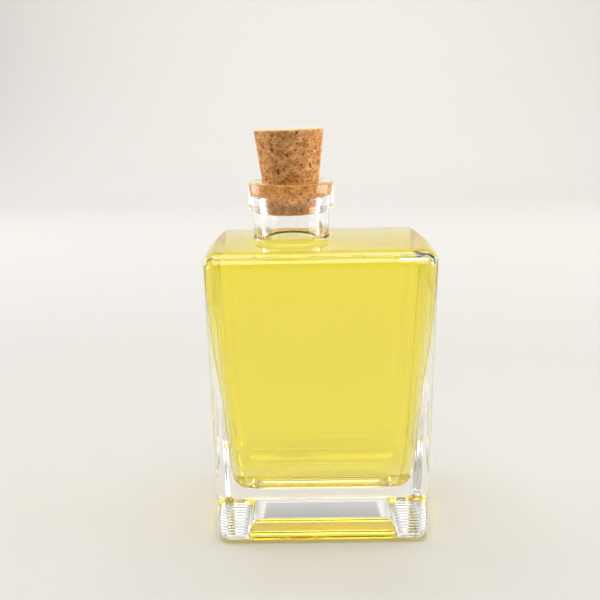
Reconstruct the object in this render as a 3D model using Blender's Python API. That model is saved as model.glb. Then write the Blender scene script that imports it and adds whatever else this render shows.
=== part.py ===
"""A rectangular flint-glass bottle with its neck off to one side, full of a clear yellow drink and
closed with a tapered cork.

The bottle stands on its base: origin at the middle of the base, +Z up, broad face towards -Y,
neck towards -X. Metres throughout.
"""

import math

import bmesh
import bpy

MM = 0.001

# Body
BODY_WIDTH = 80 * MM
BODY_DEPTH = 50.5 * MM
BODY_HEIGHT = 109.6 * MM
CORNER_RADIUS = 4.4 * MM  # upright edges, seen from above
SIDE_RADIUS = 240 * MM  # the narrow sides bulge a little in this arc, seen from above
TOP_EDGE_RADIUS = 4.2 * MM
BASE_EDGE_RADIUS = 4.0 * MM

# Neck and lip, turned about an axis left of the middle
NECK_X = -9.8 * MM
NECK_RADIUS = 13.5 * MM
NECK_FILLET = 2.5 * MM
LIP_RADIUS = 15.0 * MM
LIP_HEIGHT = 10.0 * MM
LIP_TOP = 130.5 * MM
LIP_UNDER_RADIUS = 1.4 * MM
RIM_RADIUS = 1.0 * MM

# Bore: a cone that grips the cork, then a straight throat that flares into the cavity
MOUTH_RADIUS = 10.3 * MM
SEAT_DEPTH = 6.9 * MM
BORE_RADIUS = 9.5 * MM
THROAT_FLARE = 2.0 * MM

# Cavity: walls thin at the shoulder that thicken in a curve towards a heavy base
WALL = 1.9 * MM
FOOT_WALL = 6.7 * MM
WALL_CURVE_START = 95 * MM
WALL_CURVE_POWER = 1.1
FLOOR_HEIGHT = 18.2 * MM
FLOOR_EDGE_RADIUS = 9.0 * MM
ROOF_THICKNESS = 2.8 * MM
ROOF_EDGE_RADIUS = 2.4 * MM
FOOT_CORNER_RADIUS = 5.0 * MM  # upright edges of the cavity near its floor

# Panel sunk into the underside between two flat end strips. Behind each long heel a gently
# curved apron rises first, then a steep flank up to the panel.
PANEL_WIDTH = 56.6 * MM
PANEL_END_FLANK = 2.0 * MM
PANEL_RISE = 4.5 * MM
PANEL_EDGE = 12.4 * MM  # from the front face to the panel's level part
APRON_START = 4.4 * MM
APRON_END = 10.8 * MM
APRON_RISE = 1.2 * MM
PANEL_CORNER_RADIUS = 0.6 * MM

# Drink
FILL_LEVEL = 111.0 * MM
FIT_GAP = 0.3 * MM

# Cork: a plain tapered stopper, leaning a little towards -X
CORK_TOP_RADIUS = 12.05 * MM
CORK_FOOT_RADIUS = 8.75 * MM
CORK_LENGTH = 28.7 * MM
CORK_PROUD = 17.8 * MM
CORK_EDGE_RADIUS = 0.7 * MM
CORK_LEAN = math.radians(1.0)

# Fineness
CORNER_STEPS = 6
SIDE_STEPS = 6
EDGE_STEPS = 5
APRON_STEPS = 4
TURN_STEPS = 64
OVERLAP = 1.5 * MM  # how far joined shapes run into each other


def clear_scene():
    for obj in list(bpy.data.objects):
        bpy.data.objects.remove(obj, do_unlink=True)


def material(name, colour, roughness, transmission=0.0, ior=1.45):
    made = bpy.data.materials.new(name)
    made.use_nodes = True
    shader = made.node_tree.nodes["Principled BSDF"]
    shader.inputs["Base Color"].default_value = (*colour, 1.0)
    shader.inputs["Roughness"].default_value = roughness
    shader.inputs["Metallic"].default_value = 0.0
    shader.inputs["Transmission Weight"].default_value = transmission
    shader.inputs["IOR"].default_value = ior
    made.diffuse_color = (*colour, 1.0)
    return made


def arc(centre_r, centre_z, radius, start, end, steps=EDGE_STEPS):
    """Points (r, z) along an arc, with its angles in degrees from +r towards +z."""
    angles = [math.radians(start + (end - start) * k / steps) for k in range(steps + 1)]
    return [(centre_r + radius * math.cos(a), centre_z + radius * math.sin(a)) for a in angles]


def ring(radius, z):
    """A circle about the neck's axis."""
    turns = [2 * math.pi * k / TURN_STEPS for k in range(TURN_STEPS)]
    return [(NECK_X + radius * math.cos(t), radius * math.sin(t), z) for t in turns]


def body_outline(inset, radius, z):
    """The body seen from above, drawn in by an inset, anticlockwise from the front right."""
    half_width = BODY_WIDTH / 2 - inset
    centre_y = BODY_DEPTH / 2 - inset - radius
    side_centre_x = half_width - (SIDE_RADIUS - inset)
    reach = SIDE_RADIUS - inset - radius
    centre_x = side_centre_x + math.sqrt(reach**2 - centre_y**2)
    bend = math.asin(centre_y / reach)
    quarter = []
    for k in range(SIDE_STEPS // 2):
        angle = bend * k / (SIDE_STEPS // 2)
        span = SIDE_RADIUS - inset
        quarter.append((side_centre_x + span * math.cos(angle), span * math.sin(angle)))
    for k in range(CORNER_STEPS + 1):
        angle = bend + (math.pi / 2 - bend) * k / CORNER_STEPS
        x = centre_x + radius * math.cos(angle)
        quarter.append((x, centre_y + radius * math.sin(angle)))
    half = quarter + [(-x, y) for x, y in reversed(quarter)]
    return [(x, y, z) for x, y in half] + [(-x, -y, z) for x, y in half[1:-1]]


def rounded_rectangle(half_width, half_depth, radius, z):
    """A rectangle about the body's axis, with its corners as arcs, anticlockwise from above."""
    points = []
    for corner in range(4):
        side_x = 1 if corner in (0, 3) else -1
        side_y = 1 if corner < 2 else -1
        for k in range(CORNER_STEPS + 1):
            angle = math.pi / 2 * (corner + k / CORNER_STEPS)
            x = side_x * (half_width - radius) + radius * math.cos(angle)
            y = side_y * (half_depth - radius) + radius * math.sin(angle)
            points.append((x, y, z))
    return points


def loft(name, loops):
    """A closed solid through loops of equal length, the lowest first, capped at both ends."""
    form = bmesh.new()
    rows = [[form.verts.new(point) for point in loop] for loop in loops]
    for lower, upper in zip(rows, rows[1:]):
        for k in range(len(lower)):
            following = (k + 1) % len(lower)
            form.faces.new((lower[k], lower[following], upper[following], upper[k]))
    form.faces.new(list(reversed(rows[0])))
    form.faces.new(rows[-1])
    mesh = bpy.data.meshes.new(name)
    form.to_mesh(mesh)
    form.free()
    made = bpy.data.objects.new(name, mesh)
    bpy.context.scene.collection.objects.link(made)
    return made


def turned(name, profile):
    """A solid turned about the neck's axis from (radius, height) pairs, the lowest first."""
    return loft(name, [ring(radius, z) for radius, z in profile])


def helper(obj):
    obj.hide_render = True
    obj.display_type = "WIRE"
    return obj


def combine(target, other, operation):
    step = target.modifiers.new(f"{operation.title()} {other.name}", "BOOLEAN")
    step.operation = operation
    step.solver = "EXACT"
    step.object = helper(other)


def finish(obj, finish_material):
    obj.data.materials.append(finish_material)
    obj.data.shade_smooth()
    obj.data.set_sharp_from_angle(angle=math.radians(30))
    return obj


def body_blank():
    """The body's outside: a block with rounded edges at its corners, base and shoulder."""
    levels = arc(BASE_EDGE_RADIUS, BASE_EDGE_RADIUS, BASE_EDGE_RADIUS, 270, 180)
    shoulder = BODY_HEIGHT - TOP_EDGE_RADIUS
    levels += arc(TOP_EDGE_RADIUS, shoulder, TOP_EDGE_RADIUS, 180, 90)
    return loft("bottle", [body_outline(inset, CORNER_RADIUS - inset, z) for inset, z in levels])


def neck_blank():
    """The neck and its plain ring lip, with a fillet where the neck leaves the shoulder."""
    fillet = arc(NECK_RADIUS + NECK_FILLET, BODY_HEIGHT + NECK_FILLET, NECK_FILLET, 262, 180)
    under = LIP_TOP - LIP_HEIGHT
    under_lip = arc(
        LIP_RADIUS - LIP_UNDER_RADIUS, under + LIP_UNDER_RADIUS, LIP_UNDER_RADIUS, 285, 360
    )
    rim = arc(LIP_RADIUS - RIM_RADIUS, LIP_TOP - RIM_RADIUS, RIM_RADIUS, 0, 90)
    profile = [(fillet[0][0], BODY_HEIGHT - OVERLAP), *fillet]
    profile += [(NECK_RADIUS, under), *under_lip, *rim]
    return turned("neck blank", profile)


def thickened_at(z):
    """How far the walls have thickened at a height: 0 high up, 1 at the cavity's floor."""
    below = max(0.0, WALL_CURVE_START - z) / (WALL_CURVE_START - FLOOR_HEIGHT)
    return below**WALL_CURVE_POWER


def cavity_form(name, gap):
    """The hollow in the body, smaller by a gap all round."""
    floor = FLOOR_HEIGHT + gap
    roof = BODY_HEIGHT - ROOF_THICKNESS - gap
    levels = arc(FLOOR_EDGE_RADIUS, floor + FLOOR_EDGE_RADIUS, FLOOR_EDGE_RADIUS, 270, 180)
    first = floor + FLOOR_EDGE_RADIUS
    steps = 9
    for k in range(1, steps + 1):
        levels.append((0.0, first + (WALL_CURVE_START - first) * k / steps))
    levels += arc(ROOF_EDGE_RADIUS, roof - ROOF_EDGE_RADIUS, ROOF_EDGE_RADIUS, 180, 90)
    top_corner = CORNER_RADIUS - WALL
    loops = []
    for inset, z in levels:
        thickened = thickened_at(z)
        wall = WALL + (FOOT_WALL - WALL) * thickened + gap
        corner = top_corner + (FOOT_CORNER_RADIUS - top_corner) * thickened
        loops.append(body_outline(wall + inset, max(corner - inset, corner / 3), z))
    return loft(name, loops)


def throat_profile(gap):
    """The bore from inside the cavity up to where it is straight."""
    roof = BODY_HEIGHT - ROOF_THICKNESS
    flare = arc(BORE_RADIUS + THROAT_FLARE, roof + THROAT_FLARE, THROAT_FLARE + gap, 262, 180)
    return [(flare[0][0], roof - OVERLAP), *flare]


def bore_form(name):
    """The whole bore, from the cavity to just above the rim."""
    seat = LIP_TOP - SEAT_DEPTH
    rim = arc(MOUTH_RADIUS + RIM_RADIUS, LIP_TOP - RIM_RADIUS, RIM_RADIUS, 180, 100)
    above = (rim[-1][0], LIP_TOP + OVERLAP)
    return turned(name, [*throat_profile(0.0), (BORE_RADIUS, seat), *rim, above])


def panel_form(name):
    """The hollow under the base: an apron and a flank at front and back, and two end flanks."""
    levels = [(APRON_START, -OVERLAP)]
    for k in range(APRON_STEPS + 1):
        share = k / APRON_STEPS
        depth = APRON_START + (APRON_END - APRON_START) * share
        levels.append((depth, APRON_RISE * share**2))
    levels.append((PANEL_EDGE, PANEL_RISE))
    loops = []
    for depth, z in levels:
        half_width = PANEL_WIDTH / 2 - PANEL_END_FLANK * max(z, 0.0) / PANEL_RISE
        half_depth = BODY_DEPTH / 2 - depth
        loops.append(rounded_rectangle(half_width, half_depth, PANEL_CORNER_RADIUS, z))
    return loft(name, loops)


def make_bottle(glass):
    bottle = body_blank()
    combine(bottle, neck_blank(), "UNION")
    hollow = cavity_form("cavity", 0.0)
    combine(hollow, bore_form("bore"), "UNION")
    combine(bottle, hollow, "DIFFERENCE")
    combine(bottle, panel_form("base panel"), "DIFFERENCE")
    return finish(bottle, glass)


def make_drink(liquid):
    drink = cavity_form("drink", FIT_GAP)
    profile = throat_profile(FIT_GAP)
    surface = (profile[-1][0], FILL_LEVEL)
    combine(drink, turned("drink in throat", [*profile, surface]), "UNION")
    return finish(drink, liquid)


def make_cork(cork_material):
    """The stopper is turned about the neck's axis, then leans about the middle of the mouth."""
    top = CORK_PROUD
    foot = CORK_PROUD - CORK_LENGTH
    edge = CORK_EDGE_RADIUS
    profile = arc(CORK_FOOT_RADIUS - edge, foot + edge, edge, 270, 360, 3)
    profile += arc(CORK_TOP_RADIUS - edge, top - edge, edge, 0, 90, 3)
    cork = loft("cork", [ring(radius, z) for radius, z in profile])
    for vertex in cork.data.vertices:
        vertex.co.x -= NECK_X
    cork.location = (NECK_X, 0.0, LIP_TOP)
    cork.rotation_euler = (0.0, -CORK_LEAN, 0.0)
    return finish(cork, cork_material)


clear_scene()
make_bottle(material("clear glass", (0.93, 0.95, 0.94), 0.02, transmission=1.0, ior=1.52))
make_drink(material("yellow drink", (0.86, 0.76, 0.10), 0.05, transmission=1.0, ior=1.36))
make_cork(material("cork", (0.52, 0.31, 0.13), 0.85))
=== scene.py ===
"""Looks of a corked glass bottle of yellow drink: clear thick glass with a ribbed foot, a still
drink with a trapped air pocket under the shoulder, and a stopper of pressed cork granules."""

import math

import bmesh
import bpy
import numpy as np
from mathutils import Matrix, Vector, noise


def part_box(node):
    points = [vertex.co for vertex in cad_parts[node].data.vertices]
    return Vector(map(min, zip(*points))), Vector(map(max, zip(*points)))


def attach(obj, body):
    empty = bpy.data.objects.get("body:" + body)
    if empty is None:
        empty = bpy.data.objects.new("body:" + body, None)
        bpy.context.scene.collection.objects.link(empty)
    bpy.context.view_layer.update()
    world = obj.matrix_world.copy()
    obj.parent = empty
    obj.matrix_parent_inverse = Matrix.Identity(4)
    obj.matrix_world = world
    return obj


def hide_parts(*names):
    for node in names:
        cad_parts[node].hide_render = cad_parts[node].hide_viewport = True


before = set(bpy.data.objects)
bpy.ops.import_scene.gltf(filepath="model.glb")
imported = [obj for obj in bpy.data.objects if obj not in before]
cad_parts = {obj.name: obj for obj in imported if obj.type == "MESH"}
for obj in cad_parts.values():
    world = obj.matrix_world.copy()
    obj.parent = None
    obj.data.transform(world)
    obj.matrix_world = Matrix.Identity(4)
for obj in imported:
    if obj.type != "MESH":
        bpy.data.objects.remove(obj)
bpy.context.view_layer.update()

MM = 0.001

# Places read from the frame
HALF_WIDTH, HALF_DEPTH, LIP_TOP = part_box("bottle")[1]
FILL_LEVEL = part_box("drink")[1].z

# Outside of the glass
SHOULDER = 109.6 * MM
CORNER_RADIUS = 4.4 * MM
SIDE_RADIUS = 240 * MM  # the narrow sides bulge a little
TOP_EDGE_RADIUS = 4.2 * MM
BASE_EDGE_RADIUS = 4.0 * MM
NECK_X = -9.8 * MM
NECK_RADIUS = 13.5 * MM
NECK_FILLET = 2.5 * MM
LIP_RADIUS = 15.0 * MM
LIP_HEIGHT = 10.0 * MM
LIP_CREASE_RADIUS = 0.3 * MM  # where the lip meets the neck
LIP_UNDER_RADIUS = 1.4 * MM
LIP_UNDER_ANGLE = 285  # degrees, where the lip's underside runs into its rounded edge
RIM_RADIUS = 1.0 * MM

# Inside of the glass
MOUTH_RADIUS = 9.75 * MM
BORE_RADIUS = 9.5 * MM
THROAT_FLARE = 2.0 * MM
WALL = 1.9 * MM
FOOT_WALL = 6.7 * MM
WALL_CURVE_START = 95 * MM
WALL_CURVE_POWER = 1.1
FLOOR_HEIGHT = 18.2 * MM
FLOOR_EDGE_RADIUS = 9.0 * MM
ROOF_THICKNESS = 2.8 * MM
ROOF_EDGE_RADIUS = 2.4 * MM
FOOT_CORNER_RADIUS = 5.0 * MM

# Band of the mouth's wall that is pressed against the stopper
SEAT_START = 0.1 * MM  # below the rim's rounding
SEAT_DEPTH = 6.9 * MM
SEAT_RUN_OUT = 0.8 * MM  # how far its rings go on below it
SEAT_BITE = 0.15 * MM  # how far the glass reaches into the stopper
SEAT_DIP = 2.0 * MM  # how much lower the band reaches at the front
SEAT_DIP_SPREAD = 0.5  # radians to either side of the front
SEAT_FADE = 0.5 * MM  # height over which the band gives way to the bore

# Underside: sunk between two flat end strips, rising from the heel in an apron, then a flank
PANEL_WIDTH = 56.6 * MM
PANEL_END_FLANK = 2.0 * MM
PANEL_RISE = 4.5 * MM
PANEL_EDGE = 12.4 * MM  # from the front face to the panel's level part
PANEL_EDGE_SOFTNESS = 0.35 * MM
PANEL_BORDER = 5 * MM  # ring of faces round the level part
PANEL_CORNER_RADIUS = 0.6 * MM
APRON_START = 4.4 * MM
APRON_END = 10.8 * MM
APRON_RISE = 1.2 * MM
RIB_PITCH = 3.0 * MM
RIB_DEPTH = 0.15 * MM
RIB_START = 30.0 * MM  # from the middle, along X
RIB_END = 36.2 * MM
RIB_REACH = 19.0 * MM  # from the middle, along Y
RIB_SOFTNESS = 0.8 * MM  # length over which the grooves run out
RIB_LEVEL = 0.05 * MM  # only what lies lower than this is grooved

# Drink
WALL_BITE = 0.12 * MM  # how far the drink reaches into the glass
MENISCUS_RISE = 0.9 * MM
MENISCUS_FADE = 0.9 * MM  # distance from the glass over which the rise falls to about a third
MENISCUS_WIDTH = 3.96 * MM  # the surface is level further in
MENISCUS_RINGS = (1.0, 0.8, 0.6, 0.45, 0.3, 0.2, 0.1, 0.05, 0.0)  # from the glass inwards

# Pocket of air along the front roof edge
POCKET_START = 10 * MM
POCKET_END = 38 * MM
POCKET_DEPTH = 1.2 * MM
POCKET_THIN_SHARE = 0.10  # share of the depth near its start
POCKET_SWELL = 2.2  # the higher, the later it deepens
POCKET_TIP = 1 / 8  # share of its length over which it opens
POCKET_RIPPLE = 0.45
POCKET_RIPPLE_FINENESS = 300  # for each metre
POCKET_RIPPLE_PLACE = (3.1, 0.7)
POCKET_STRETCH = 1.3  # how much further it reaches inwards than down
POCKET_SPREAD = 1.1  # how far round the edge it reaches, for each part of its depth
POCKET_HALO = 0.2 * MM
POCKET_SINK = 0.8  # how far it opens downwards for each part inwards
POCKET_SPAN = 8 * MM  # nothing further from the edge moves

# Cork
CORK_TOP_RADIUS = 12.05 * MM
CORK_FOOT_RADIUS = 8.75 * MM
CORK_LENGTH = 28.7 * MM
CORK_PROUD = 17.8 * MM
CORK_EDGE_RADIUS = 0.7 * MM
CORK_SIDE_ANGLE = 353  # degrees round the foot's edge to where the leaning side starts
CORK_LEAN = math.radians(1.0)
CORK_FOOT_RINGS = (0.02, 0.2, 0.4, 0.6, 0.75, 0.85)  # shares of the foot's radius
CORK_LAST_RING = 0.01  # share of the top's radius

# Surface of the cork, with each fineness for one millimetre
PIT_DEPTH = 0.22 * MM
PIT_SLOPE = 0.14  # rise of the noise from a pit's edge to its full depth
PIT_TALLNESS = 0.75  # the lower, the taller the pits
PIT_SIZES = (  # fineness, noise at the pit's edge, how far crowding lowers that, and a shift
    (0.95, 0.47, 0.12, Vector((0.0, 0.0, 0.0))),
    (1.75, 0.41, 0.14, Vector((9.0, 4.0, 2.0))),
)
CROWDING_FINENESS = 0.30
CROWDING_SHIFT = Vector((5.0, 1.0, 8.0))
BEND_FINENESS = 0.9
BEND_SIZE = 0.5
BEND_SEED = 1  # fixes how the pits are bent, which is drawn at random
GRAIN_DEPTH = 0.03 * MM
GRAIN_FINENESS = 2.2
# Painted highlight along the stopper's top edge, where light from above catches it
RIM_HIGHLIGHT_STRENGTH = 0.7
RIM_HIGHLIGHT_WIDTH = 0.6 * MM
HELD_TINT = 0.35
HELD_FADE = 1.0 * MM  # depth below the lip's top over which the tint comes in

# Pattern of the cork's colour
GRANULE_SQUASH = (1.0, 1.0, 1.45)  # the granules are flatter than they are wide
GRANULE_FINENESS = 1000  # for each metre
CLOUD_NOISE = (300, 6, 0.7)  # fineness for each metre, detail and roughness
SPECK_NOISE = (1300, 2, 0.5)
RELIEF_NOISE = (1100, 4, 0.6)
RELIEF_DEPTH = 0.15 * MM
CLOUD_RANGE = (0.36, 0.64, 1.0)  # where a mark starts and is full, and its strength there
PALE_GRAIN_RANGE = (0.86, 0.90, 0.45)
DARK_GRAIN_RANGE = (0.88, 0.92, 0.45)
SPECK_RANGE = (0.385, 0.345, 0.8)
# the pits' colour is partly their own darker tone and partly painted shade in the hollows
PIT_TONE_AND_SHADE_RANGE = (0.1, 0.8, 0.92)

# Finishes
GLASS_COLOUR = (0.998, 1.0, 0.998, 1.0)
GLASS_INDEX = 1.52
DRINK_SURFACE = (1.0, 1.0, 1.0, 1.0)
DRINK_COLOUR = (1.0, 0.954, 0.0, 1.0)
DRINK_DENSITY = 68.0
DRINK_INDEX = 1.36
CORK_SHADED = (0.50, 0.155, 0.040, 1.0)
CORK_TAN = (0.97, 0.52, 0.19, 1.0)
CORK_HELD = (1.0, 0.47, 0.085, 1.0)
CORK_PALE_GRAIN = (1.0, 0.70, 0.36, 1.0)
CORK_DARK_GRAIN = (0.42, 0.19, 0.06, 1.0)
CORK_SPECK = (0.30, 0.12, 0.035, 1.0)
# dark pit colour: the pores' own tone deepened by painted shade
CORK_PIT_TONE_AND_SHADE = (0.16, 0.055, 0.015, 1.0)
# painted highlight colour for the stopper's top edge, where light from above catches it
CORK_RIM_HIGHLIGHT = (0.95, 0.76, 0.52, 1.0)
SWEEP_COLOUR = (0.615, 0.600, 0.580, 1.0)

# Fineness of the meshes
CORNER_STEPS = 14
FRONT_STEPS = 60
SIDE_STEPS = 140
EDGE_STEPS = 10
CREASE_STEPS = 4
CORK_EDGE_STEPS = 5
WALL_ROWS = 26
OUTSIDE_ROWS = 12
APRON_ROWS = 10
STRIP_ROWS = 16
SEAT_ROWS = 36
THROAT_ROWS = 8
CORK_TURNS = 260
CORK_ROWS = 130
CORK_TOP_RINGS = 34
SWEEP_STEPS = 16

# Sweep and room
SWEEP_HALF_WIDTH = 1.6
SWEEP_FRONT = -1.6
SWEEP_BACK = 1.3
SWEEP_CURVE = 0.4
SWEEP_TOP = 0.84
SWEEP_DROP = 0.1 * MM  # the glass stands a hair above it
ROOM_TONES = (  # by the sine of the angle above the level
    (0.548, (0.93, 0.92, 0.90, 1.0)),
    (0.578, (0.50, 0.51, 0.50, 1.0)),
    (0.66, (0.50, 0.51, 0.50, 1.0)),
    (0.75, (0.98, 0.98, 0.97, 1.0)),
)
ROOM_FRONT = -0.85  # direction along Y where the room is dimmest
ROOM_FRONT_STRENGTH = 0.12
ROOM_STRENGTH = 0.75
LIGHT_BOUNCES = 32

# Camera, worked out from the outline of the body in the photograph
IMAGE_SIDE = 600
FOCAL_PIXELS = 651.3
SENSOR_WIDTH = 36
CAMERA_PLACE = Vector((-4.84, -231.91, 154.26)) * MM
CAMERA_PITCH = math.radians(16.245)
CAMERA_YAW = math.radians(0.595)
CAMERA_ROLL = math.radians(-1.049)


def arc(centre_r, centre_z, radius, start, end, steps=EDGE_STEPS):
    """Points (r, z) along an arc, with its angles in degrees from +r towards +z."""
    angles = [math.radians(start + (end - start) * k / steps) for k in range(steps + 1)]
    return [(centre_r + radius * math.cos(a), centre_z + radius * math.sin(a)) for a in angles]


def whole_loop(half, z):
    """A closed loop at a height, from one half of it and the same half turned round the Z axis."""
    return np.array([(x, y, z) for x, y in half] + [(-x, -y, z) for x, y in half])


def body_outline(inset, radius, z):
    """The body seen from above, drawn in by an inset, with even steps along its four sides."""
    half_y = HALF_DEPTH - inset
    span = SIDE_RADIUS - inset
    side_centre = HALF_WIDTH - SIDE_RADIUS
    centre_y = half_y - radius
    centre_x = side_centre + math.sqrt((span - radius) ** 2 - centre_y**2)
    bend = math.asin(centre_y / (span - radius))
    corner = [bend + (math.pi / 2 - bend) * k / CORNER_STEPS for k in range(CORNER_STEPS + 1)]
    right = [(centre_x + radius * math.cos(a), centre_y + radius * math.sin(a)) for a in corner]
    across = [centre_x * (1 - 2 * k / FRONT_STEPS) for k in range(1, FRONT_STEPS)]
    bends = [bend * (2 * k / SIDE_STEPS - 1) for k in range(1, SIDE_STEPS)]
    left = [(-x, y) for x, y in reversed(right)]
    half = right + [(x, half_y) for x in across] + left
    half += [(-side_centre - span * math.cos(a), -span * math.sin(a)) for a in bends]
    return whole_loop(half, z)


def panel_outline(half_x, half_y, z):
    """A rounded rectangle about the body's axis, with as many points as the body's outline."""
    radius = PANEL_CORNER_RADIUS
    flat_x = half_x - radius
    flat_y = half_y - radius
    corner = [math.pi / 2 * k / CORNER_STEPS for k in range(CORNER_STEPS + 1)]
    right = [(flat_x + radius * math.cos(a), flat_y + radius * math.sin(a)) for a in corner]
    across = [(flat_x * (1 - 2 * k / FRONT_STEPS), half_y) for k in range(1, FRONT_STEPS)]
    left = [(-x, y) for x, y in reversed(right)]
    along = [(-half_x, flat_y * (1 - 2 * k / SIDE_STEPS)) for k in range(1, SIDE_STEPS)]
    return whole_loop(right + across + left + along, z)


def neck_ring(radius, z, bearings):
    """A circle about the neck's axis, with a point at each bearing."""
    return np.stack(
        [NECK_X + radius * np.cos(bearings), radius * np.sin(bearings), np.full(len(bearings), z)],
        axis=1,
    )


def bearings_of(loop):
    """The direction from the neck's axis to each point of a loop."""
    return np.arctan2(loop[:, 1], loop[:, 0] - NECK_X)


def unwound(target, start):
    """The turn from one bearing to another, the short way round."""
    return (target - start + math.pi) % (2 * math.pi) - math.pi


def skin(name, loops):
    """A mesh through loops of equal length, capped at both ends, with its faces outwards."""
    count = len(loops[0])
    points = np.concatenate(loops)
    faces = []
    for row in range(len(loops) - 1):
        low = row * count
        high = low + count
        for k in range(count):
            following = (k + 1) % count
            faces.append((low + k, low + following, high + following, high + k))
    faces.append(tuple(reversed(range(count))))
    faces.append(tuple(range(len(points) - count, len(points))))
    mesh = bpy.data.meshes.new(name)
    mesh.from_pydata(points.tolist(), [], faces)
    form = bmesh.new()
    form.from_mesh(mesh)
    bmesh.ops.recalc_face_normals(form, faces=form.faces)
    form.to_mesh(mesh)
    form.free()
    mesh.shade_smooth()
    piece = bpy.data.objects.new(name, mesh)
    bpy.context.scene.collection.objects.link(piece)
    return piece


def stand_for(piece, node):
    """Lets a finished piece ride on the body in place of a solid, which it hides."""
    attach(piece, "root")
    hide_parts(node)


def thickened_at(z):
    """How far the walls have thickened at a height: 0 high up, 1 at the cavity's floor."""
    below = max(0.0, WALL_CURVE_START - z) / (WALL_CURVE_START - FLOOR_HEIGHT)
    return below**WALL_CURVE_POWER


def cavity_loops(grow=0.0):
    """The hollow in the body from its floor to its roof, larger by grow all round."""
    floor = FLOOR_HEIGHT - grow
    roof = SHOULDER - ROOF_THICKNESS + grow
    edge = FLOOR_EDGE_RADIUS
    levels = arc(edge, floor + edge, edge, 270, 180)
    first = floor + edge
    climb = WALL_CURVE_START - first
    levels += [(0.0, first + climb * k / WALL_ROWS) for k in range(1, WALL_ROWS + 1)]
    levels += arc(ROOF_EDGE_RADIUS, roof - ROOF_EDGE_RADIUS, ROOF_EDGE_RADIUS, 180, 90)
    top_corner = CORNER_RADIUS - WALL
    loops = []
    for inset, z in levels:
        thickened = thickened_at(z)
        wall = WALL + (FOOT_WALL - WALL) * thickened - grow
        corner = top_corner + (FOOT_CORNER_RADIUS - top_corner) * thickened
        sharpest = corner / 3
        loops.append(body_outline(wall + inset, max(corner - inset, sharpest), z))
    return loops


def throat_rings(bearings, grow=0.0):
    """The flare from the cavity's roof into the straight throat, wider by grow."""
    roof = SHOULDER - ROOF_THICKNESS
    profile = arc(BORE_RADIUS + THROAT_FLARE, roof + THROAT_FLARE, THROAT_FLARE - grow, 270, 180)
    return [neck_ring(radius, z, bearings) for radius, z in profile]


def underside_loops():
    """The sunk panel and the strips that the bottle stands on, from the middle out."""
    soft = PANEL_EDGE_SOFTNESS
    slope = (PANEL_RISE - APRON_RISE) / (PANEL_EDGE - APRON_END)
    rows = [
        (PANEL_EDGE + PANEL_BORDER, PANEL_RISE, PANEL_BORDER),
        (PANEL_EDGE + soft, PANEL_RISE, soft),
        (PANEL_EDGE - soft, PANEL_RISE - soft * slope, 0.0),
    ]
    for k in range(APRON_ROWS, -1, -1):
        share = k / APRON_ROWS
        depth = APRON_START + (APRON_END - APRON_START) * share
        rows.append((depth, APRON_RISE * share**2, 0.0))
    loops = []
    for depth, z, drawn_in in rows:
        half_x = PANEL_WIDTH / 2 - PANEL_END_FLANK * z / PANEL_RISE - drawn_in
        loops.append(panel_outline(half_x, HALF_DEPTH - depth, z))
    rim = body_outline(BASE_EDGE_RADIUS, CORNER_RADIUS - BASE_EDGE_RADIUS, 0.0)
    last = loops[-1]
    for k in range(1, STRIP_ROWS):
        loops.append(last + (rim - last) * k / STRIP_ROWS)
    return loops


def outside_loops():
    """The body from its foot edge to its shoulder."""
    levels = arc(BASE_EDGE_RADIUS, BASE_EDGE_RADIUS, BASE_EDGE_RADIUS, 270, 180)
    first = levels[-1][1]
    last = SHOULDER - TOP_EDGE_RADIUS
    levels += [(0.0, first + (last - first) * k / OUTSIDE_ROWS) for k in range(1, OUTSIDE_ROWS)]
    levels += arc(TOP_EDGE_RADIUS, last, TOP_EDGE_RADIUS, 180, 90)
    return [body_outline(inset, CORNER_RADIUS - inset, z) for inset, z in levels]


def neck_profile():
    """The neck as (radius, height), from the shoulder up its outside and over the lip's rim."""
    under = LIP_TOP - LIP_HEIGHT
    crease = LIP_CREASE_RADIUS
    soft = LIP_UNDER_RADIUS
    profile = arc(NECK_RADIUS + NECK_FILLET, SHOULDER + NECK_FILLET, NECK_FILLET, 270, 180)
    profile += [(NECK_RADIUS, under - 2 * crease)]
    profile += arc(NECK_RADIUS + crease, under - crease, crease, 180, 90, CREASE_STEPS)
    profile += arc(LIP_RADIUS - soft, under + soft, soft, LIP_UNDER_ANGLE, 360)
    profile += arc(LIP_RADIUS - RIM_RADIUS, LIP_TOP - RIM_RADIUS, RIM_RADIUS, 0, 90)
    profile += arc(MOUTH_RADIUS + RIM_RADIUS, LIP_TOP - RIM_RADIUS, RIM_RADIUS, 90, 180)
    return profile


def cork_radius_at(z):
    """The stopper's radius at a height in the mouth, before its surface is roughened."""
    above_foot = 1 - (CORK_PROUD + LIP_TOP - z) / CORK_LENGTH
    return CORK_FOOT_RADIUS + (CORK_TOP_RADIUS - CORK_FOOT_RADIUS) * above_foot


def seat_rings(bearings):
    """The mouth's wall, pressed against the stopper down to an uneven edge, then the bore."""
    first = LIP_TOP - RIM_RADIUS - SEAT_START
    last = LIP_TOP - SEAT_DEPTH - SEAT_RUN_OUT
    from_front = np.abs(unwound(bearings, -math.pi / 2))
    dip = SEAT_DIP * (1 - np.exp(-((from_front / SEAT_DIP_SPREAD) ** 2)))
    edge = LIP_TOP - SEAT_DEPTH + dip
    rings = []
    for k in range(SEAT_ROWS + 1):
        z = first + (last - first) * k / SEAT_ROWS
        held = np.clip((z - edge) / SEAT_FADE + 1, 0, 1)
        held = held * held * (3 - 2 * held)
        pressed = cork_radius_at(z) - SEAT_BITE
        ring = neck_ring(BORE_RADIUS + (pressed - BORE_RADIUS) * held, z, bearings)
        ring[:, 0] += (LIP_TOP - z) * math.sin(CORK_LEAN) * held
        rings.append(ring)
    return rings


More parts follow.
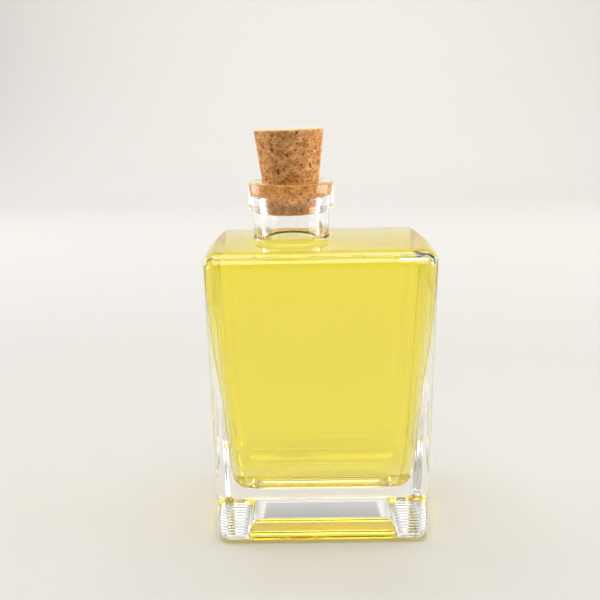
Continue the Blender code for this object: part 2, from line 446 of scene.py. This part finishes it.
def bottle_loops():
    """The glass, from the middle of its underside up over the lip and down to its inner floor."""
    loops = underside_loops() + outside_loops()
    bearings = bearings_of(loops[-1])
    loops += [neck_ring(radius, z, bearings) for radius, z in neck_profile()]
    loops += seat_rings(bearings)
    cavity = cavity_loops()
    roof_bearings = bearings_of(cavity[-1])
    throat = throat_rings(roof_bearings)
    turn = unwound(roof_bearings, bearings)
    seat_foot = loops[-1][0][2]
    throat_top = throat[-1][0][2]
    for k in range(1, THROAT_ROWS):
        share = k / THROAT_ROWS
        z = seat_foot + (throat_top - seat_foot) * share
        loops.append(neck_ring(BORE_RADIUS, z, bearings + turn * share))
    return loops + throat[::-1] + cavity[::-1]


def start_material(name):
    """A new material and its main shader."""
    made = bpy.data.materials.new(name)
    made.use_nodes = True
    return made, made.node_tree.nodes["Principled BSDF"]


def clear_material(name, colour, index):
    """A smooth clear finish that bends light by its refractive index."""
    made, shader = start_material(name)
    shader.inputs["Base Color"].default_value = colour
    shader.inputs["Roughness"].default_value = 0.0
    shader.inputs["IOR"].default_value = index
    shader.inputs["Transmission Weight"].default_value = 1.0
    return made


def drink_material():
    """Clear drink, yellower the further that light goes through it."""
    made = clear_material("yellow drink", DRINK_SURFACE, DRINK_INDEX)
    nodes = made.node_tree.nodes
    depth = nodes.new("ShaderNodeVolumeAbsorption")
    depth.inputs["Color"].default_value = DRINK_COLOUR
    depth.inputs["Density"].default_value = DRINK_DENSITY
    made.node_tree.links.new(depth.outputs["Volume"], nodes["Material Output"].inputs["Volume"])
    return made


def feed(links, socket, value):
    """Links another node's output to a socket, or sets the socket to a plain value."""
    if isinstance(value, bpy.types.NodeSocket):
        links.new(value, socket)
    else:
        socket.default_value = value


def rib_tree():
    """Sinks even grooves into the underside's end strips, which leaves ribs between them."""
    tree = bpy.data.node_groups.new("foot ribs", "GeometryNodeTree")
    face = tree.interface
    face.new_socket("Geometry", in_out="INPUT", socket_type="NodeSocketGeometry")
    for name in ("Pitch", "Depth", "Strip Start", "Strip End", "Reach", "Softness", "Level"):
        face.new_socket(name, in_out="INPUT", socket_type="NodeSocketFloat")
    face.new_socket("Finish", in_out="INPUT", socket_type="NodeSocketMaterial")
    face.new_socket("Geometry", in_out="OUTPUT", socket_type="NodeSocketGeometry")
    nodes = tree.nodes
    links = tree.links
    given = nodes.new("NodeGroupInput").outputs
    result = nodes.new("NodeGroupOutput")

    def reckon(operation, *values):
        node = nodes.new("ShaderNodeMath")
        node.operation = operation
        for socket, value in zip(node.inputs, values):
            feed(links, socket, value)
        return node.outputs[0]

    def ease(value, low, high, start, end):
        """Goes smoothly from start to end as the value goes from low to high."""
        node = nodes.new("ShaderNodeMapRange")
        node.interpolation_type = "SMOOTHSTEP"
        feed(links, node.inputs["Value"], value)
        feed(links, node.inputs["From Min"], low)
        feed(links, node.inputs["From Max"], high)
        feed(links, node.inputs["To Min"], start)
        feed(links, node.inputs["To Max"], end)
        return node.outputs["Result"]

    place = nodes.new("GeometryNodeInputPosition")
    parts = nodes.new("ShaderNodeSeparateXYZ")
    links.new(place.outputs["Position"], parts.inputs["Vector"])
    across = reckon("ABSOLUTE", parts.outputs["X"])
    along = reckon("ABSOLUTE", parts.outputs["Y"])
    soft = given["Softness"]
    strip_low = reckon("SUBTRACT", given["Strip Start"], soft)
    strip_high = reckon("ADD", given["Strip End"], soft)
    reach_high = reckon("ADD", given["Reach"], soft)
    masks = (
        ease(across, strip_low, given["Strip Start"], 0.0, 1.0),
        ease(across, given["Strip End"], strip_high, 1.0, 0.0),
        ease(along, given["Reach"], reach_high, 1.0, 0.0),
        reckon("LESS_THAN", parts.outputs["Z"], given["Level"]),
    )
    turns = reckon("DIVIDE", parts.outputs["Y"], given["Pitch"])
    wave = reckon("COSINE", reckon("MULTIPLY", turns, 2 * math.pi))
    groove = reckon("MULTIPLY", reckon("SUBTRACT", 1.0, wave), 0.5)
    sunk = reckon("MULTIPLY", groove, given["Depth"])
    for mask in masks:
        sunk = reckon("MULTIPLY", sunk, mask)
    lift = nodes.new("ShaderNodeCombineXYZ")
    links.new(sunk, lift.inputs["Z"])
    move = nodes.new("GeometryNodeSetPosition")
    links.new(given["Geometry"], move.inputs["Geometry"])
    links.new(lift.outputs["Vector"], move.inputs["Offset"])
    realize = nodes.new("GeometryNodeRealizeInstances")
    links.new(move.outputs["Geometry"], realize.inputs["Geometry"])
    dress = nodes.new("GeometryNodeSetMaterial")
    links.new(realize.outputs["Geometry"], dress.inputs["Geometry"])
    links.new(given["Finish"], dress.inputs["Material"])
    links.new(dress.outputs["Geometry"], result.inputs["Geometry"])
    return tree


def grow_with(piece, tree, values):
    """Runs a node tree on a piece and keeps the result as its plain mesh."""
    growth = piece.modifiers.new(tree.name, "NODES")
    growth.node_group = tree
    for item in tree.interface.items_tree:
        if item.in_out == "INPUT" and item.name in values:
            growth[item.identifier] = values[item.name]
    graph = bpy.context.evaluated_depsgraph_get()
    result = bpy.data.meshes.new_from_object(piece.evaluated_get(graph))
    piece.modifiers.clear()
    piece.data = result


def make_bottle_glass():
    """The glass, with ribs cut into the end strips of its foot."""
    glass = skin("bottle_glass", bottle_loops())
    finish = clear_material("clear flint glass", GLASS_COLOUR, GLASS_INDEX)
    glass.data.materials.append(finish)
    ribs = {
        "Pitch": RIB_PITCH,
        "Depth": RIB_DEPTH,
        "Strip Start": RIB_START,
        "Strip End": RIB_END,
        "Reach": RIB_REACH,
        "Softness": RIB_SOFTNESS,
        "Level": RIB_LEVEL,
        "Finish": finish,
    }
    grow_with(glass, rib_tree(), ribs)
    glass.data.shade_smooth()
    stand_for(glass, "bottle")


def open_air_pocket(mesh):
    """Draws the drink back from the front roof edge, where a thin bubble of air is trapped."""
    roof = SHOULDER - ROOF_THICKNESS
    front = -(HALF_DEPTH - WALL)
    for vertex in mesh.vertices:
        x, y, z = vertex.co
        if x < POCKET_START or y > front + POCKET_SPAN or z < roof - POCKET_SPAN:
            continue
        along = min(1.0, (x - POCKET_START) / (POCKET_END - POCKET_START))
        swollen = POCKET_THIN_SHARE + (1 - POCKET_THIN_SHARE) * along**POCKET_SWELL
        size = POCKET_DEPTH * swollen * min(1.0, along / POCKET_TIP)
        ripple = noise.noise(Vector((x * POCKET_RIPPLE_FINENESS, *POCKET_RIPPLE_PLACE)))
        size *= 1 + POCKET_RIPPLE * ripple
        from_edge = math.hypot((y - front) / POCKET_STRETCH, z - roof)
        pull = size * math.exp(-((from_edge / (size * POCKET_SPREAD + POCKET_HALO)) ** 2))
        vertex.co.y += pull
        vertex.co.z -= pull * POCKET_SINK


def make_drink():
    """The drink, from the cavity's floor to its surface in the foot of the neck."""
    loops = cavity_loops(WALL_BITE)
    bearings = bearings_of(loops[-1])
    loops += throat_rings(bearings, WALL_BITE)
    for share in MENISCUS_RINGS:
        from_glass = MENISCUS_WIDTH * (1 - share)
        rise = MENISCUS_RISE * math.exp(-from_glass / MENISCUS_FADE)
        radius = BORE_RADIUS + WALL_BITE - from_glass
        loops.append(neck_ring(radius, FILL_LEVEL + rise - MENISCUS_RISE, bearings))
    drink = skin("yellow_drink", loops)
    open_air_pocket(drink.data)
    drink.data.materials.append(drink_material())
    stand_for(drink, "drink")


def cork_colour(nodes, links):
    """The colour and relief of pressed cork: soft clouds of tan, warmer in the mouth, with pale
    and dark grains, specks, pits darkened by their own colour and by painted shade, and a painted
    highlight along the top edge."""
    place = nodes.new("ShaderNodeTexCoord")
    squashed = nodes.new("ShaderNodeVectorMath")
    squashed.operation = "MULTIPLY"
    squashed.inputs[1].default_value = GRANULE_SQUASH
    links.new(place.outputs["Object"], squashed.inputs[0])

    def cloud(fineness, detail, roughness):
        node = nodes.new("ShaderNodeTexNoise")
        node.inputs["Scale"].default_value = fineness
        node.inputs["Detail"].default_value = detail
        node.inputs["Roughness"].default_value = roughness
        links.new(squashed.outputs["Vector"], node.inputs["Vector"])
        return node.outputs["Fac"]

    def spread(value, low, high, most):
        """Goes evenly from 0 to the most as the value goes from low to high."""
        node = nodes.new("ShaderNodeMapRange")
        links.new(value, node.inputs["Value"])
        node.inputs["From Min"].default_value = low
        node.inputs["From Max"].default_value = high
        node.inputs["To Min"].default_value = 0.0
        node.inputs["To Max"].default_value = most
        return node.outputs["Result"]

    def blend(share, first, second):
        node = nodes.new("ShaderNodeMix")
        node.data_type = "RGBA"
        feed(links, node.inputs["A"], first)
        feed(links, node.inputs["B"], second)
        links.new(share, node.inputs["Factor"])
        return node.outputs["Result"]

    def mark(name):
        """A value that the stopper's mesh carries at each point."""
        node = nodes.new("ShaderNodeAttribute")
        node.attribute_name = name
        return node.outputs["Fac"]

    granules = nodes.new("ShaderNodeTexVoronoi")
    granules.inputs["Scale"].default_value = GRANULE_FINENESS
    links.new(squashed.outputs["Vector"], granules.inputs["Vector"])
    tone = nodes.new("ShaderNodeSeparateColor")
    links.new(granules.outputs["Color"], tone.inputs["Color"])
    colour = blend(spread(cloud(*CLOUD_NOISE), *CLOUD_RANGE), CORK_SHADED, CORK_TAN)
    colour = blend(mark("held"), colour, CORK_HELD)
    colour = blend(spread(tone.outputs["Red"], *PALE_GRAIN_RANGE), colour, CORK_PALE_GRAIN)
    colour = blend(spread(tone.outputs["Green"], *DARK_GRAIN_RANGE), colour, CORK_DARK_GRAIN)
    colour = blend(spread(cloud(*SPECK_NOISE), *SPECK_RANGE), colour, CORK_SPECK)
    # darkens the pits with their own tone and painted shade
    colour = blend(spread(mark("pits"), *PIT_TONE_AND_SHADE_RANGE), colour, CORK_PIT_TONE_AND_SHADE)
    # painted highlight along the top edge, carried by the rim mark
    colour = blend(mark("rim"), colour, CORK_RIM_HIGHLIGHT)
    return colour, cloud(*RELIEF_NOISE)


def cork_material():
    """Matt pressed cork with a fine relief."""
    made, shader = start_material("pressed cork")
    nodes = made.node_tree.nodes
    links = made.node_tree.links
    colour, relief = cork_colour(nodes, links)
    links.new(colour, shader.inputs["Base Color"])
    shader.inputs["Roughness"].default_value = 0.8
    shader.inputs["Specular IOR Level"].default_value = 0.3
    bump = nodes.new("ShaderNodeBump")
    bump.inputs["Strength"].default_value = 0.5
    bump.inputs["Distance"].default_value = RELIEF_DEPTH
    links.new(relief, bump.inputs["Height"])
    links.new(bump.outputs["Normal"], shader.inputs["Normal"])
    return made


def cork_profile():
    """The stopper as (radius, height above the lip), from its foot's middle to its top's middle."""
    top = CORK_PROUD
    foot = CORK_PROUD - CORK_LENGTH
    edge = CORK_EDGE_RADIUS
    steps = CORK_EDGE_STEPS
    foot_edge = arc(CORK_FOOT_RADIUS - edge, foot + edge, edge, 270, CORK_SIDE_ANGLE, steps)
    top_edge = arc(CORK_TOP_RADIUS - edge, top - edge, edge, 0, 90, steps)
    low_r, low_z = foot_edge[-1]
    high_r, high_z = top_edge[0]
    rows = [(CORK_FOOT_RADIUS * share, foot) for share in CORK_FOOT_RINGS] + foot_edge
    for k in range(1, CORK_ROWS):
        share = k / CORK_ROWS
        rows.append((low_r + (high_r - low_r) * share, low_z + (high_z - low_z) * share))
    rows += top_edge
    for k in range(1, CORK_TOP_RINGS):
        rows.append(((CORK_TOP_RADIUS - edge) * (1 - k / CORK_TOP_RINGS), top))
    rows.append((CORK_TOP_RADIUS * CORK_LAST_RING, top))
    return rows


def pit_at(place):
    """How far a place on the stopper, in millimetres, is sunk by pits: 0 for none, 1 at most."""
    crowding = noise.noise(place * CROWDING_FINENESS + CROWDING_SHIFT)
    bent = place + noise.noise_vector(place * BEND_FINENESS) * BEND_SIZE
    bent.z *= PIT_TALLNESS
    past_edge = [
        noise.noise(bent * fineness + shift) - edge + lowering * crowding
        for fineness, edge, lowering, shift in PIT_SIZES
    ]
    return max(0.0, min(1.0, max(past_edge) / PIT_SLOPE))


def roughen_cork(mesh):
    """Sinks small pits into the stopper, inside its true form, and marks them for their dark colour
    and painted shade, its top edge for a painted highlight, and the part that the mouth holds."""
    noise.seed_set(BEND_SEED)
    normals = [vertex.normal.copy() for vertex in mesh.vertices]
    names = ("pits", "rim", "held")
    for name in names:
        mesh.attributes.new(name, "FLOAT", "POINT")
    pits, rim_highlights, held = (mesh.attributes[name].data for name in names)
    for vertex, outward in zip(mesh.vertices, normals):
        place = vertex.co * 1000  # in millimetres
        pit = pit_at(place)
        grain = noise.noise(place * GRAIN_FINENESS)
        # share of the painted highlight, strongest at the top edge
        rim_highlight_share = max(0.0, 1 - (CORK_PROUD - vertex.co.z) / RIM_HIGHLIGHT_WIDTH)
        below_lip = min(1.0, max(0.0, -vertex.co.z / HELD_FADE))
        # marks how sunk each point is, for the pits' dark colour and painted shade
        pits[vertex.index].value = pit
        rim_highlights[vertex.index].value = RIM_HIGHLIGHT_STRENGTH * rim_highlight_share
        held[vertex.index].value = HELD_TINT * below_lip
        vertex.co -= outward * (PIT_DEPTH * pit + GRAIN_DEPTH * (1 + grain))


def make_cork():
    """The stopper, set in the mouth with a slight lean."""
    turns = np.linspace(0, 2 * math.pi, CORK_TURNS, endpoint=False)
    loops = [
        np.stack([radius * np.cos(turns), radius * np.sin(turns), np.full(CORK_TURNS, z)], axis=1)
        for radius, z in cork_profile()
    ]
    cork = skin("cork_stopper", loops)
    roughen_cork(cork.data)
    place = Matrix.Translation((NECK_X, 0.0, LIP_TOP)) @ Matrix.Rotation(-CORK_LEAN, 4, "Y")
    cork.data.transform(place)
    cork.data.materials.append(cork_material())
    stand_for(cork, "cork")


def make_sweep():
    """A pale sweep: a level floor that curves up into a low backdrop."""
    floor = -SWEEP_DROP
    turn = SWEEP_BACK - SWEEP_CURVE
    rows = [(SWEEP_FRONT, floor), (turn, floor)]
    for k in range(1, SWEEP_STEPS + 1):
        angle = math.pi / 2 * k / SWEEP_STEPS
        rise = SWEEP_CURVE - SWEEP_CURVE * math.cos(angle)
        rows.append((turn + SWEEP_CURVE * math.sin(angle), floor + rise))
    rows.append((SWEEP_BACK, SWEEP_TOP))
    points = [(x, y, z) for y, z in rows for x in (-SWEEP_HALF_WIDTH, SWEEP_HALF_WIDTH)]
    faces = [(2 * k, 2 * k + 1, 2 * k + 3, 2 * k + 2) for k in range(len(rows) - 1)]
    mesh = bpy.data.meshes.new("sweep")
    mesh.from_pydata(points, [], faces)
    mesh.shade_smooth()
    finish, shader = start_material("pale sweep")
    shader.inputs["Base Color"].default_value = SWEEP_COLOUR
    shader.inputs["Roughness"].default_value = 0.9
    shader.inputs["Specular IOR Level"].default_value = 0.2
    mesh.materials.append(finish)
    sweep = bpy.data.objects.new("sweep", mesh)
    bpy.context.scene.collection.objects.link(sweep)


def make_lamp(name, place, aim, size, power, colour=(1.0, 1.0, 1.0)):
    """A rectangular lamp that faces the point it is aimed at."""
    lamp = bpy.data.lights.new(name, "AREA")
    lamp.shape = "RECTANGLE"
    lamp.size, lamp.size_y = size
    lamp.energy = power
    lamp.color = colour
    holder = bpy.data.objects.new(name, lamp)
    holder.location = place
    holder.rotation_euler = (Vector(aim) - Vector(place)).to_track_quat("-Z", "Y").to_euler()
    bpy.context.scene.collection.objects.link(holder)


def make_lamps():
    """Soft light from above and from both sides, and a wash on the backdrop."""
    make_lamp(
        "overhead",
        place=(0.0, 0.0, 1.3),
        aim=(0.0, 0.0, 0.0),
        size=(1.1, 1.1),
        power=12.4,
    )
    make_lamp(
        "backdrop wash",
        place=(0.0, 0.35, 1.15),
        aim=(0.0, 1.3, 1.0),
        size=(1.8, 0.4),
        power=12.5,
    )
    make_lamp(
        "right side",
        place=(1.25, 0.1, 0.3),
        aim=(0.0, 0.0, 0.1),
        size=(1.1, 0.8),
        power=12.0,
        colour=(1.0, 0.96, 0.90),
    )
    make_lamp(
        "left side",
        place=(-1.1, 0.4, 0.3),
        aim=(0.0, 0.0, 0.1),
        size=(0.8, 0.7),
        power=6.5,
        colour=(1.0, 0.98, 0.95),
    )


def make_room():
    """Bright low down and overhead, grey in a band between, and dimmer on the camera's side."""
    world = bpy.data.worlds.new("studio")
    bpy.context.scene.world = world
    world.use_nodes = True
    nodes = world.node_tree.nodes
    links = world.node_tree.links
    place = nodes.new("ShaderNodeTexCoord")
    parts = nodes.new("ShaderNodeSeparateXYZ")
    links.new(place.outputs["Generated"], parts.inputs["Vector"])
    ramp = nodes.new("ShaderNodeValToRGB")
    tones = ramp.color_ramp.elements
    while len(tones) < len(ROOM_TONES):
        tones.new(1.0)
    for tone, (height, colour) in zip(tones, ROOM_TONES):
        tone.position = height
        tone.color = colour
    links.new(parts.outputs["Z"], ramp.inputs["Fac"])
    front = nodes.new("ShaderNodeMapRange")
    front.inputs["From Min"].default_value = ROOM_FRONT
    front.inputs["From Max"].default_value = 0.0
    front.inputs["To Min"].default_value = ROOM_FRONT_STRENGTH
    front.inputs["To Max"].default_value = ROOM_STRENGTH
    links.new(parts.outputs["Y"], front.inputs["Value"])
    links.new(ramp.outputs["Color"], nodes["Background"].inputs["Color"])
    links.new(front.outputs["Result"], nodes["Background"].inputs["Strength"])


def keep_light_in_glass():
    """Lets light go round inside the thick glass many times, with its reflections unblurred."""
    paths = bpy.context.scene.cycles
    paths.max_bounces = LIGHT_BOUNCES
    paths.transmission_bounces = LIGHT_BOUNCES
    paths.glossy_bounces = LIGHT_BOUNCES
    paths.blur_glossy = 0.0


def make_studio():
    make_sweep()
    make_room()
    make_lamps()
    keep_light_in_glass()
    bpy.context.scene.view_settings.view_transform = "Standard"


def make_camera():
    """The camera, in the place that the photograph was taken from."""
    lens = bpy.data.cameras.new("camera")
    lens.sensor_width = SENSOR_WIDTH
    lens.lens = FOCAL_PIXELS / IMAGE_SIDE * SENSOR_WIDTH
    lens.clip_start = 10 * MM
    holder = bpy.data.objects.new("camera", lens)
    turn = Matrix.Rotation(CAMERA_YAW, 4, "Z")
    tip = Matrix.Rotation(math.pi / 2 - CAMERA_PITCH, 4, "X")
    roll = Matrix.Rotation(CAMERA_ROLL, 4, "Z")
    holder.matrix_world = Matrix.Translation(CAMERA_PLACE) @ turn @ tip @ roll
    bpy.context.scene.collection.objects.link(holder)
    bpy.context.scene.camera = holder


make_camera()
make_bottle_glass()
make_drink()
make_cork()
make_studio()
